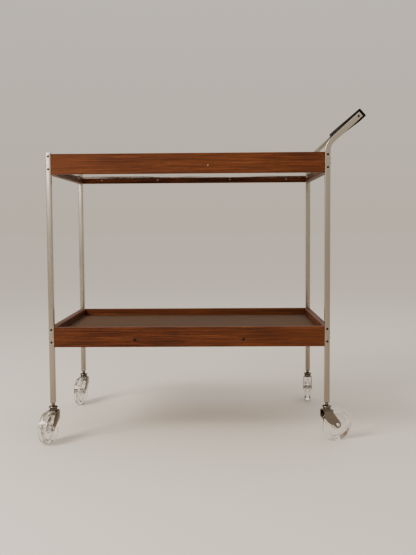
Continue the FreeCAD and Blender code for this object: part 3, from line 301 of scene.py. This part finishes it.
def turn_profile(name, profile, steps):
    """A piece turned about Z from its (radius, height) outline."""
    bpy.ops.object.select_all(action="DESELECT")
    bpy.ops.mesh.primitive_plane_add(size=0.001)
    piece = bpy.context.active_object
    piece.name = name
    bpy.ops.object.mode_set(mode="EDIT")
    bpy.ops.mesh.select_mode(type="VERT")
    bpy.ops.mesh.select_all(action="SELECT")
    bpy.ops.mesh.merge(type="CENTER")
    bpy.ops.transform.translate(value=(profile[0][0], 0.0, profile[0][1]))
    for (radius, height), (next_radius, next_height) in zip(profile, profile[1:]):
        step = (next_radius - radius, 0.0, next_height - height)
        bpy.ops.mesh.extrude_region_move(TRANSFORM_OT_translate={"value": step})
    bpy.ops.mesh.select_all(action="SELECT")
    bpy.ops.mesh.spin(steps=steps, angle=2 * math.pi, center=(0.0, 0.0, 0.0), axis=(0.0, 0.0, 1.0))
    bpy.ops.mesh.select_all(action="SELECT")
    bpy.ops.mesh.remove_doubles(threshold=WELD_WITHIN)
    bpy.ops.mesh.normals_make_consistent(inside=False)
    bpy.ops.object.mode_set(mode="OBJECT")
    return piece


def dome(inner, outer, base, rise, degrees):
    """Points of a domed outline, from near its rim inwards and up, at the given degrees."""
    points = []
    for angle in map(math.radians, degrees):
        points.append((inner + (outer - inner) * math.cos(angle), base + rise * math.sin(angle)))
    return points


def make_slotted_screw(name, head, rise, length):
    """A screw along Z: shank below, domed head above, a slot pressed into its top."""
    radius = head / 2
    shank = radius * SCREW_SHANK_SHARE
    rim = rise * SCREW_RIM_SHARE
    profile = [(0.0, -length), (shank, -length), (shank, 0.0), (radius, 0.0), (radius, rim)]
    profile += dome(0.0, radius, rim, rise - rim, (20, 40, 60, 75))
    profile.append((0.0, rise))
    screw = turn_profile(name, profile, steps=28)
    half_slot = head * SCREW_SLOT_SHARE
    bpy.ops.object.mode_set(mode="EDIT")
    for side in (-1, 1):
        bpy.ops.mesh.select_all(action="SELECT")
        bpy.ops.mesh.bisect(plane_co=(side * half_slot, 0.0, 0.0), plane_no=(1.0, 0.0, 0.0))
    bpy.ops.mesh.select_mode(type="FACE")
    bpy.ops.mesh.select_all(action="DESELECT")
    bpy.ops.object.mode_set(mode="OBJECT")
    for face in screw.data.polygons:
        face.select = abs(face.center.x) < half_slot and face.center.z > rim and face.normal.z > 0.2
    bpy.ops.object.mode_set(mode="EDIT")
    bpy.ops.mesh.extrude_region_move(TRANSFORM_OT_translate={"value": (0.0, 0.0, -rise * SCREW_SLOT_DEPTH)})
    bpy.ops.object.mode_set(mode="OBJECT")
    return screw


def set_out(pattern, name, places):
    """Copies of a pattern piece, each (place, direction) turned a little further, joined in one mesh."""
    bpy.ops.object.select_all(action="DESELECT")
    for number, (spot, direction) in enumerate(places):
        copy = pattern.copy()
        copy.data = pattern.data.copy()
        bpy.context.scene.collection.objects.link(copy)
        facing = Vector(direction).to_track_quat("Z", "Y").to_matrix().to_4x4()
        copy.matrix_world = Matrix.Translation(spot) @ facing @ Matrix.Rotation(number * TURN_STEP, 4, "Z")
        copy.select_set(True)
    bpy.context.view_layer.objects.active = copy
    bpy.ops.object.transform_apply(location=True, rotation=True, scale=True)
    bpy.ops.object.join()
    group = bpy.context.active_object
    group.name = name
    bpy.data.objects.remove(pattern)
    return group


dark_steel = make_metal("bronzed_steel", (0.026, 0.020, 0.016), rough=0.3, spread=0.06,
                        line_scale=700.0, line_depth=0.15)
lower_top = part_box("lower_front_rail")[1].z
post_screw_places = []
for corner, (side, front) in CORNERS.items():
    low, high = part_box("post_" + corner)
    middle_x = low.x + POST_WIDTH / 2
    middle_y = (low.y + high.y) / 2
    for top in (upper_top, lower_top):
        for drop in FACE_SCREW_DROPS:
            spot = (middle_x, middle_y + front * POST_WIDTH / 2, top - drop)
            post_screw_places.append((spot, (0.0, front, 0.0)))
        for drop in SIDE_SCREW_DROPS:
            spot = (middle_x + side * POST_WIDTH / 2, middle_y, top - drop)
            post_screw_places.append((spot, (side, 0.0, 0.0)))
post_screw = make_slotted_screw("post_screw", POST_SCREW_HEAD, POST_SCREW_RISE, POST_SCREW_LENGTH)
post_screws = set_out(post_screw, "dark_post_screws", post_screw_places)
fit_piece(post_screws, dark_steel, "dark_steel", "cart", "post_screws")

# Handle: a square ebonised bar with rounded edges under satin lacquer.
# A long dark screw at each end clamps it between the two arms.
BAR_EDGE = 0.0025
BAR_END_EDGE = 0.0005
EBONY = (0.0048, 0.0034, 0.0027)
GRAIN_FINENESS = 14.0


def ease_edges(piece, width, segments=2):
    """Round the sharp edges of a piece."""
    pick(piece)
    bpy.ops.object.mode_set(mode="EDIT")
    bpy.ops.mesh.select_mode(type="EDGE")
    bpy.ops.mesh.select_all(action="DESELECT")
    bpy.ops.mesh.edges_select_sharp(sharpness=math.radians(38.0))
    bpy.ops.mesh.bevel(offset=width, segments=segments, affect="EDGES")
    bpy.ops.object.mode_set(mode="OBJECT")


def make_plain(name, colour, rough, scale, depth, mottling=0.18):
    """A moulded, pressed or fibrous stuff: mottled colour, uneven gloss and a fine grain."""
    plain = new_material(name)
    mottle = add_noise(plain, EVEN, scale, detail=5.0, roughness=0.62)
    grain = add_noise(plain, EVEN, scale * GRAIN_FINENESS, detail=2.0, roughness=0.5)
    low = tuple(part * (1.0 - mottling) for part in colour)
    high = tuple(min(part * (1.0 + mottling), 1.0) for part in colour)
    set_surface(plain, {
        "Base Color": add_ramp(plain, mottle, [(0.3, low), (0.7, high)]),
        "Roughness": add_range(plain, mottle, low=rough - 0.06, high=rough + 0.08),
        "Normal": add_bump(plain, grain, depth, distance=0.0003),
    })
    return plain


bar_low, bar_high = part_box("handle_bar")
bar_middle = (bar_low + bar_high) / 2
turned = math.cos(HANDLE_ANGLE) + math.sin(HANDLE_ANGLE)
bar_side = (bar_high.x - bar_low.x + 2 * BAR_EDGE * (turned - 1.0)) / turned
bpy.ops.object.select_all(action="DESELECT")
bpy.ops.mesh.primitive_cube_add(size=1.0, location=bar_middle, rotation=(0.0, -HANDLE_ANGLE, 0.0),
                                scale=(bar_side, bar_high.y - bar_low.y, bar_side))
bar = bpy.context.active_object
bar.name = "ebonised_bar"
bpy.ops.object.transform_apply(location=True, rotation=True, scale=True)
bpy.ops.object.mode_set(mode="EDIT")
bpy.ops.mesh.select_mode(type="EDGE")
bpy.ops.mesh.select_all(action="DESELECT")
bpy.ops.object.mode_set(mode="OBJECT")
for edge in bar.data.edges:
    ends = [bar.data.vertices[number].co for number in edge.vertices]
    edge.select = abs(ends[0].y - ends[1].y) > bar_side
bpy.ops.object.mode_set(mode="EDIT")
bpy.ops.mesh.bevel(offset=BAR_EDGE, segments=6, affect="EDGES")
bpy.ops.object.mode_set(mode="OBJECT")
ease_edges(bar, BAR_END_EDGE)
lacquer = make_plain("ebonised_lacquer", EBONY, rough=0.58, scale=40.0, depth=0.03)
set_surface(lacquer, {"Specular IOR Level": 0.08})
fit_piece(bar, lacquer, "handle_black", "cart", "handle_bar")
screw_low, screw_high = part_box("handle_screws")
screw_middle = (screw_low + screw_high) / 2
handle_screw_places = []
for front in (-1, 1):
    face = front * (screw_high.y - POST_SCREW_RISE)
    handle_screw_places.append(((screw_middle.x, face, screw_middle.z), (0.0, front, 0.0)))
handle_screw = make_slotted_screw("handle_screw", POST_SCREW_HEAD, POST_SCREW_RISE, POST_SCREW_LENGTH)
handle_screws = set_out(handle_screw, "dark_handle_screws", handle_screw_places)
fit_piece(handle_screws, dark_steel, "dark_steel", "cart", "handle_screws")

# Reflector pan: thin polished aluminium sheet that closes the upper tray from below.
# Its screws pull it up against the ledger strips, so that it is not quite flat and its mirror image wavers.
PAN_SCREW_HEAD = 0.0065
PAN_SCREW_RISE = 0.0018
PAN_SCREW_LENGTH = 0.013
LEDGER_WIDTH = 0.012
PAN_SCREW_MARGIN = 0.0556
PAN_SCREW_INNER_SHARE = 0.3925
PAN_SCREW_END_SHARE = 0.45
pan_metal = new_material("polished_pan")
pan_wave = add_noise(pan_metal, (1.0, 1.4, 1.0), scale=7.0, detail=1.0, roughness=0.4)
pan_haze = add_noise(pan_metal, (40.0, 6.0, 1.0), scale=6.0, detail=3.0, roughness=0.6)
set_surface(pan_metal, {
    "Base Color": add_mix(pan_metal, pan_haze, (0.83, 0.74, 0.65, 1.0), (0.73, 0.63, 0.54, 1.0)),
    "Metallic": 1.0,
    "Roughness": add_range(pan_metal, pan_haze, low=0.03, high=0.10),
    "Normal": add_bump(pan_metal, pan_wave, strength=0.35, distance=0.004),
})
dress(pan_metal, "reflector_pan")
bright_steel = make_metal("bright_steel", (0.30, 0.27, 0.235), rough=0.24, spread=0.05,
                          line_scale=600.0, line_depth=0.1)
tray_half_x = -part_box("upper_left_rail")[1].x
tray_half_y = -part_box("upper_front_rail")[1].y
pan_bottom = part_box("reflector_pan")[0].z
outer_half = tray_half_x - PAN_SCREW_MARGIN
pan_screw_places = []
for side in (-1, 1):
    for front in (-1, 1):
        spots = [(side * half, front * (tray_half_y - LEDGER_WIDTH / 2))
                 for half in (outer_half, outer_half * PAN_SCREW_INNER_SHARE)]
        spots.append((side * (tray_half_x - LEDGER_WIDTH / 2), front * tray_half_y * PAN_SCREW_END_SHARE))
        pan_screw_places += [((*spot, pan_bottom), (0.0, 0.0, -1.0)) for spot in spots]
pan_screw = make_slotted_screw("pan_screw", PAN_SCREW_HEAD, PAN_SCREW_RISE, PAN_SCREW_LENGTH)
pan_screws = set_out(pan_screw, "bright_pan_screws", pan_screw_places)
fit_piece(pan_screws, bright_steel, "bright_steel", "cart", "pan_screws")

# Rail pin: one small plated pin in the upper front rail.
# It is driven in from the front, and its end is left just proud of the wood.
plated_pin = make_metal("plated_pin", (0.62, 0.42, 0.30), rough=0.3, spread=0.05,
                        line_scale=600.0, line_depth=0.1)
dress(plated_pin, "rail_pin")

# Inside the heated tray: beech ledger strips, mineral wool, mica board and a flat element ribbon.
# The strips are glued to the rails and the rest is packed between the glass and the pan.
BEECH = ((0.30, 0.17, 0.08), (0.42, 0.26, 0.13), (0.52, 0.35, 0.19))
DRAWN_ALONG_X = (2.0, 200.0, 200.0)
long_ledger = make_wood("ledger_wood_long", "X", (0.4, 0.0, 0.0), BEECH, rough=0.55, gloss=0.4)
short_ledger = make_wood("ledger_wood_short", "Y", (0.0, 0.4, 0.0), BEECH, rough=0.55, gloss=0.4)
mineral_wool = make_plain("mineral_wool", (0.70, 0.64, 0.44), rough=0.85, scale=45.0, depth=0.8)
mica = make_plain("mica", (0.50, 0.42, 0.30), rough=0.45, scale=120.0, depth=0.15)
element_ribbon = make_metal("element_ribbon", (0.50, 0.47, 0.43), rough=0.42, spread=0.06,
                            line_scale=3.0, line_depth=0.1, stretch=DRAWN_ALONG_X)
dress(long_ledger, "ledger_strips_long")
dress(short_ledger, "ledger_strip_left", "ledger_strip_right")
dress(mineral_wool, "insulation_blanket")
dress(mica, "element_board")
dress(element_ribbon, "heating_element")

# Hot plate: toughened smoked glass with ground edges, wiped clean but for faint smears.
# It lies loose inside the rails, on a black silicone gasket.
smoked_glass = new_material("smoked_glass")
smear = add_noise(smoked_glass, EVEN, scale=9.0, detail=5.0, roughness=0.65)
set_surface(smoked_glass, {
    "Base Color": add_ramp(smoked_glass, smear, [(0.3, (0.030, 0.026, 0.022)), (0.7, (0.038, 0.032, 0.027))]),
    "Transmission Weight": 0.5,
    "IOR": 1.5,
    "Roughness": add_range(smoked_glass, smear, low=0.015, high=0.06),
})
dress(smoked_glass, "glass_top")
dress(make_plain("silicone", (0.03, 0.03, 0.03), rough=0.6, scale=60.0, depth=0.2), "glass_gasket")

# Appliance inlet in the left rail: a black phenolic moulding with two brass pins, held by two small screws.
# Sleeved leads join it to the thermostat and the element.
INLET_SCREW_HEAD = 0.0046
INLET_SCREW_RISE = 0.001
INLET_SCREW_LENGTH = 0.012
phenolic = make_plain("phenolic", (0.022, 0.019, 0.017), rough=0.34, scale=90.0, depth=0.12)
pin_brass = make_metal("pin_brass", (0.80, 0.58, 0.27), rough=0.22, spread=0.05,
                       line_scale=3.0, line_depth=0.05, stretch=DRAWN_ALONG_X)
lead_sleeve = make_plain("lead_sleeve", (0.55, 0.50, 0.42), rough=0.75, scale=300.0, depth=0.5)
dress(phenolic, "power_inlet", "thermostat")
dress(pin_brass, "inlet_pins")
dress(lead_sleeve, "inner_leads")
inlet_low, inlet_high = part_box("inlet_screws")
inlet_half = (inlet_high.y - inlet_low.y - INLET_SCREW_HEAD) / 2
inlet_height = (inlet_low.z + inlet_high.z) / 2
inlet_screw = make_slotted_screw("inlet_screw", INLET_SCREW_HEAD, INLET_SCREW_RISE, INLET_SCREW_LENGTH)
inlet_screw_places = [((inlet_low.x + INLET_SCREW_RISE, front * inlet_half, inlet_height), (-1.0, 0.0, 0.0))
                      for front in (-1, 1)]
inlet_screws = set_out(inlet_screw, "bright_inlet_screws", inlet_screw_places)
fit_piece(inlet_screws, bright_steel, "bright_steel", "cart", "inlet_screws")

# Lower shelf: a thin board in grooves round the rails, faced between them with dark olive-brown laminate.
# Two beech battens under it run from front to back and are screwed through the rails.
BATTEN_SCREW_HEAD = 0.007
BATTEN_SCREW_RISE = 0.0014
BATTEN_SCREW_LENGTH = 0.041
PINE = ((0.24, 0.14, 0.07), (0.34, 0.21, 0.11), (0.44, 0.29, 0.16))
laminate = new_material("olive_laminate")
cloud = add_noise(laminate, EVEN, scale=7.0, detail=4.0, roughness=0.6)
stipple = add_noise(laminate, EVEN, scale=900.0, detail=2.0, roughness=0.5)
set_surface(laminate, {
    "Base Color": add_ramp(laminate, cloud, [(0.3, (0.063, 0.0287, 0.0115)), (0.7, (0.090, 0.0430, 0.0185))]),
    "Roughness": add_range(laminate, cloud, low=0.62, high=0.74),
    "Normal": add_bump(laminate, stipple, strength=0.12, distance=0.0002),
    "Specular IOR Level": 0.12,
})
dress(laminate, "lower_laminate")
dress(make_wood("shelf_board", "X", (2.2, 0.7, 0.0), PINE, rough=0.6, gloss=0.4), "lower_board")
dress(make_wood("batten_wood", "Y", (0.9, 1.7, 0.0), BEECH, rough=0.55, gloss=0.4), "lower_battens")
screw_low, screw_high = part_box("batten_screws")
batten_half = (screw_high.x - screw_low.x - BATTEN_SCREW_HEAD) / 2
batten_height = (screw_low.z + screw_high.z) / 2
batten_screw_places = []
for side in (-1, 1):
    for front in (-1, 1):
        face = front * (screw_high.y - BATTEN_SCREW_RISE)
        batten_screw_places.append(((side * batten_half, face, batten_height), (0.0, front, 0.0)))
batten_screw = make_slotted_screw("batten_screw", BATTEN_SCREW_HEAD, BATTEN_SCREW_RISE, BATTEN_SCREW_LENGTH)
batten_screws = set_out(batten_screw, "dark_batten_screws", batten_screw_places)
fit_piece(batten_screws, dark_steel, "dark_steel", "cart", "batten_screws")

# Caster stems and caps: a turned and chromed steel stem in a black nylon socket at the foot of each post.
# The domed cap is pressed over the stem and keeps dirt from the bearing under it.
STEM_RADIUS = 0.0035
COLLAR_RADIUS = 0.0043
STEM_HEAD_RADIUS = 0.006
STEM_HEAD_RISE = 0.002
CAP_LIP = 0.0014
TURNED_EDGE = 0.0003
chrome = make_metal("chrome", (0.17, 0.14, 0.113), rough=0.08, spread=0.03, line_scale=300.0, line_depth=0.03)
black_nylon = make_plain("black_nylon", (0.012, 0.012, 0.012), rough=0.5, scale=80.0, depth=0.1)
dress(black_nylon, "caster_sockets")
low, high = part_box("post_front_left")
middle = (low + high) / 2
post_axes = []
for side, front in CORNERS.values():
    post_axes.append(((-side * middle.x, -front * middle.y, 0.0), (0.0, 0.0, 1.0)))
stem_low, stem_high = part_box("caster_stems")
cap_low, cap_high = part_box("caster_caps")
collar_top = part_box("caster_sockets")[0].z
stem = turn_profile("stem", [
    (0.0, stem_low.z),
    (STEM_HEAD_RADIUS, stem_low.z),
    (STEM_HEAD_RADIUS, stem_low.z + STEM_HEAD_RISE),
    (STEM_RADIUS, stem_low.z + STEM_HEAD_RISE),
    (STEM_RADIUS, cap_high.z),
    (COLLAR_RADIUS, cap_high.z),
    (COLLAR_RADIUS, collar_top),
    (STEM_RADIUS, collar_top),
    (STEM_RADIUS, stem_high.z),
    (0.0, stem_high.z),
], steps=40)
ease_edges(stem, TURNED_EDGE)
fit_piece(set_out(stem, "turned_stems", post_axes), chrome, "caster_chrome", "cart", "caster_stems")
cap_radius = (cap_high.x - cap_low.x + 2 * middle.x) / 2
cap_rise = cap_high.z - cap_low.z - CAP_LIP
cap_outline = [(STEM_RADIUS, cap_low.z), (cap_radius, cap_low.z), (cap_radius, cap_low.z + CAP_LIP)]
cap_outline += dome(COLLAR_RADIUS, cap_radius, cap_low.z + CAP_LIP, cap_rise, (25, 45, 60, 72, 82))
cap_outline += [(COLLAR_RADIUS, cap_high.z), (STEM_RADIUS, cap_high.z), (STEM_RADIUS, cap_low.z)]
cap = turn_profile("cap", cap_outline, steps=56)
ease_edges(cap, TURNED_EDGE)
fit_piece(set_out(cap, "domed_caps", post_axes), chrome, "caster_chrome", "cart", "caster_caps")

# Swivelling forks: sheet steel pressed to a fork and chromed, on a black thrust washer under the cap.
# A riveted axle through its bosses carries the wheel.
AXLE_RADIUS = 0.003
AXLE_HEAD_RADIUS = 0.0042
AXLE_HEAD_RISE = 0.0017
FORK_WIDTH = 0.0243
FORK_EDGE = 0.00025
rivet_steel = make_metal("rivet_steel", (0.78, 0.75, 0.69), rough=0.16, spread=0.04,
                         line_scale=400.0, line_depth=0.05)
joint_of = {joint["name"]: joint for joint in frame["joints"]}


def press_fork(name, node):
    """The CAD fork, merged, its flat faces cleaned and its cut edges eased."""
    fork = frame["nodes"][node].copy()
    fork.data = fork.data.copy()
    fork.name = name
    bpy.context.scene.collection.objects.link(fork)
    pick(fork)
    bpy.ops.object.mode_set(mode="EDIT")
    bpy.ops.mesh.select_all(action="SELECT")
    bpy.ops.mesh.remove_doubles(threshold=WELD_WITHIN)
    bpy.ops.mesh.dissolve_limited(angle_limit=math.radians(0.5))
    bpy.ops.object.mode_set(mode="OBJECT")
    ease_edges(fork, FORK_EDGE)
    return fork


def mirror_outline(outline):
    """The mirror image of half a turned outline, run the other way."""
    return [(radius, -height) for radius, height in reversed(outline)]


axle_half = [(AXLE_RADIUS, FORK_WIDTH / 2), (AXLE_HEAD_RADIUS, FORK_WIDTH / 2)]
axle_half += dome(0.0, AXLE_HEAD_RADIUS, FORK_WIDTH / 2, AXLE_HEAD_RISE, (20, 40, 60, 75, 90))
axle_outline = mirror_outline(axle_half) + axle_half
for corner in CORNERS:
    body = "caster_" + corner
    roll = joint_of["roll_" + corner]
    dress(black_nylon, "caster_washer_" + corner)
    fork = press_fork(f"{corner}_fork", "caster_fork_" + corner)
    fit_piece(fork, chrome, "caster_chrome", body, "caster_fork_" + corner)
    axle = turn_profile(f"{corner}_axle", axle_outline, steps=36)
    axle = set_out(axle, f"{corner}_rivet_axle", [(roll["pos_m"], roll["axis"])])
    fit_piece(axle, rivet_steel, "caster_chrome", body, "caster_axle_" + corner)

# Wheels: clear acrylic turned on a steel bush, with a thick rim, a thin web and a hub.
# Years of floors have scuffed the treads a little.
WHEEL_RADIUS = 0.0381
WHEEL_WIDTH = 0.0175
WHEEL_RIM = 0.0075
WHEEL_WEB = 0.006
WHEEL_DRAFT = 0.0012
WHEEL_EDGE = 0.0011
HUB_RADIUS = 0.010
BUSH_RADIUS = 0.005
BUSH_BORE = 0.00305
BUSH_LENGTH = 0.0201
BUSH_FIT = 0.00003
acrylic = new_material("clear_acrylic")
scuff = add_noise(acrylic, EVEN, scale=120.0, detail=5.0, roughness=0.7)
set_surface(acrylic, {
    "Base Color": add_ramp(acrylic, scuff, [(0.35, (0.98, 0.97, 0.95)), (0.7, (0.93, 0.91, 0.87))]),
    "Transmission Weight": 1.0,
    "IOR": 1.49,
    "Roughness": add_range(acrylic, scuff, low=0.0, high=0.05),
})
bush_steel = make_metal("bush_steel", (0.55, 0.54, 0.52), rough=0.3, spread=0.05,
                        line_scale=500.0, line_depth=0.08)
wheel_half = [
    (BUSH_RADIUS + BUSH_FIT, WHEEL_WIDTH / 2),
    (HUB_RADIUS, WHEEL_WIDTH / 2),
    (HUB_RADIUS + WHEEL_DRAFT, WHEEL_WEB / 2),
    (WHEEL_RADIUS - WHEEL_RIM - WHEEL_DRAFT, WHEEL_WEB / 2),
    (WHEEL_RADIUS - WHEEL_RIM, WHEEL_WIDTH / 2),
    (WHEEL_RADIUS, WHEEL_WIDTH / 2),
]
wheel_outline = wheel_half + mirror_outline(wheel_half) + wheel_half[:1]
bush_outline = [
    (BUSH_BORE, -BUSH_LENGTH / 2),
    (BUSH_RADIUS, -BUSH_LENGTH / 2),
    (BUSH_RADIUS, BUSH_LENGTH / 2),
    (BUSH_BORE, BUSH_LENGTH / 2),
    (BUSH_BORE, -BUSH_LENGTH / 2),
]
for corner in CORNERS:
    body = "wheel_" + corner
    roll = joint_of["roll_" + corner]
    wheel = turn_profile(f"{corner}_blank", wheel_outline, steps=96)
    ease_edges(wheel, WHEEL_EDGE, segments=4)
    wheel = set_out(wheel, f"{corner}_clear_wheel", [(roll["pos_m"], roll["axis"])])
    fit_piece(wheel, acrylic, "clear_acrylic", body, "caster_wheel_" + corner)
    bush = turn_profile(f"{corner}_tube_bush", bush_outline, steps=40)
    bush = set_out(bush, f"{corner}_bush", [(roll["pos_m"], roll["axis"])])
    fit_piece(bush, bush_steel, "bush_steel", body, "caster_bush_" + corner)

# Studio: a plain pale paper floor, laid so wide that its far edge meets the sky in the same tone.
# Soft panels light the cart from the front left and from behind, under a sky that is brighter overhead.
FLOOR_SIDE = 90.0
PAPER = (0.80, 0.75, 0.68)
bpy.ops.mesh.primitive_plane_add(size=FLOOR_SIDE, location=(0.0, 0.0, 0.0))
floor = bpy.context.object
floor.name = "studio_floor"
studio_paper = make_plain("studio_paper", PAPER, rough=0.85, scale=400.0, depth=0.02, mottling=0.02)
floor.data.materials.append(studio_paper)


def add_area_light(name, place, target, width, height, power, colour):
    light = bpy.data.lights.new(name, "AREA")
    light.shape = "RECTANGLE"
    light.size = width
    light.size_y = height
    light.energy = power
    light.color = colour
    lamp = bpy.data.objects.new(name, light)
    bpy.context.scene.collection.objects.link(lamp)
    lamp.location = place
    lamp.rotation_euler = (Vector(target) - Vector(place)).to_track_quat("-Z", "Y").to_euler()


add_area_light("key", place=(-1.9, -1.6, 1.9), target=(-0.1, 0.0, 0.45),
               width=1.1, height=1.1, power=75.0, colour=(1.0, 0.94, 0.85))
add_area_light("strip", place=(-0.95, -2.5, 1.15), target=(-0.33, 0.0, 0.6),
               width=0.6, height=0.9, power=7.0, colour=(1.0, 0.97, 0.90))
add_area_light("back", place=(0.8, 2.2, 2.6), target=(0.0, 0.0, 0.5),
               width=2.2, height=1.0, power=12.0, colour=(1.0, 0.96, 0.91))
HORIZON = (0.640, 0.561, 0.462, 1.0)
OVERHEAD = (0.880, 0.841, 0.789, 1.0)
world = bpy.data.worlds.new("sky")
world.use_nodes = True
outlook = add_node(world, "TexCoord", {}).outputs["Generated"]
rise = add_node(world, "SeparateXYZ", {"Vector": outlook}).outputs["Z"]
feed(world, world.node_tree.nodes["Background"].inputs["Color"], add_mix(world, rise, HORIZON, OVERHEAD))
bpy.context.scene.world = world

# Camera: low and nearly straight in front of the cart, a little right of the middle.
# It looks slightly down and is rolled by a fraction of a degree.
CAMERA_PLACE = (0.0794, -2.0709, 0.5174)
CAMERA_TURN = math.radians(1.014)
CAMERA_TILT = math.radians(86.236)
CAMERA_ROLL = math.radians(-0.373)
camera_data = bpy.data.cameras.new("camera")
camera_data.lens = 50.7
camera_data.sensor_width = 36.0
camera = bpy.data.objects.new("camera", camera_data)
bpy.context.scene.collection.objects.link(camera)
camera.location = CAMERA_PLACE
aim = Matrix.Rotation(CAMERA_TURN, 3, "Z") @ Matrix.Rotation(CAMERA_TILT, 3, "X")
camera.rotation_euler = (aim @ Matrix.Rotation(CAMERA_ROLL, 3, "Z")).to_euler()
bpy.context.scene.camera = camera
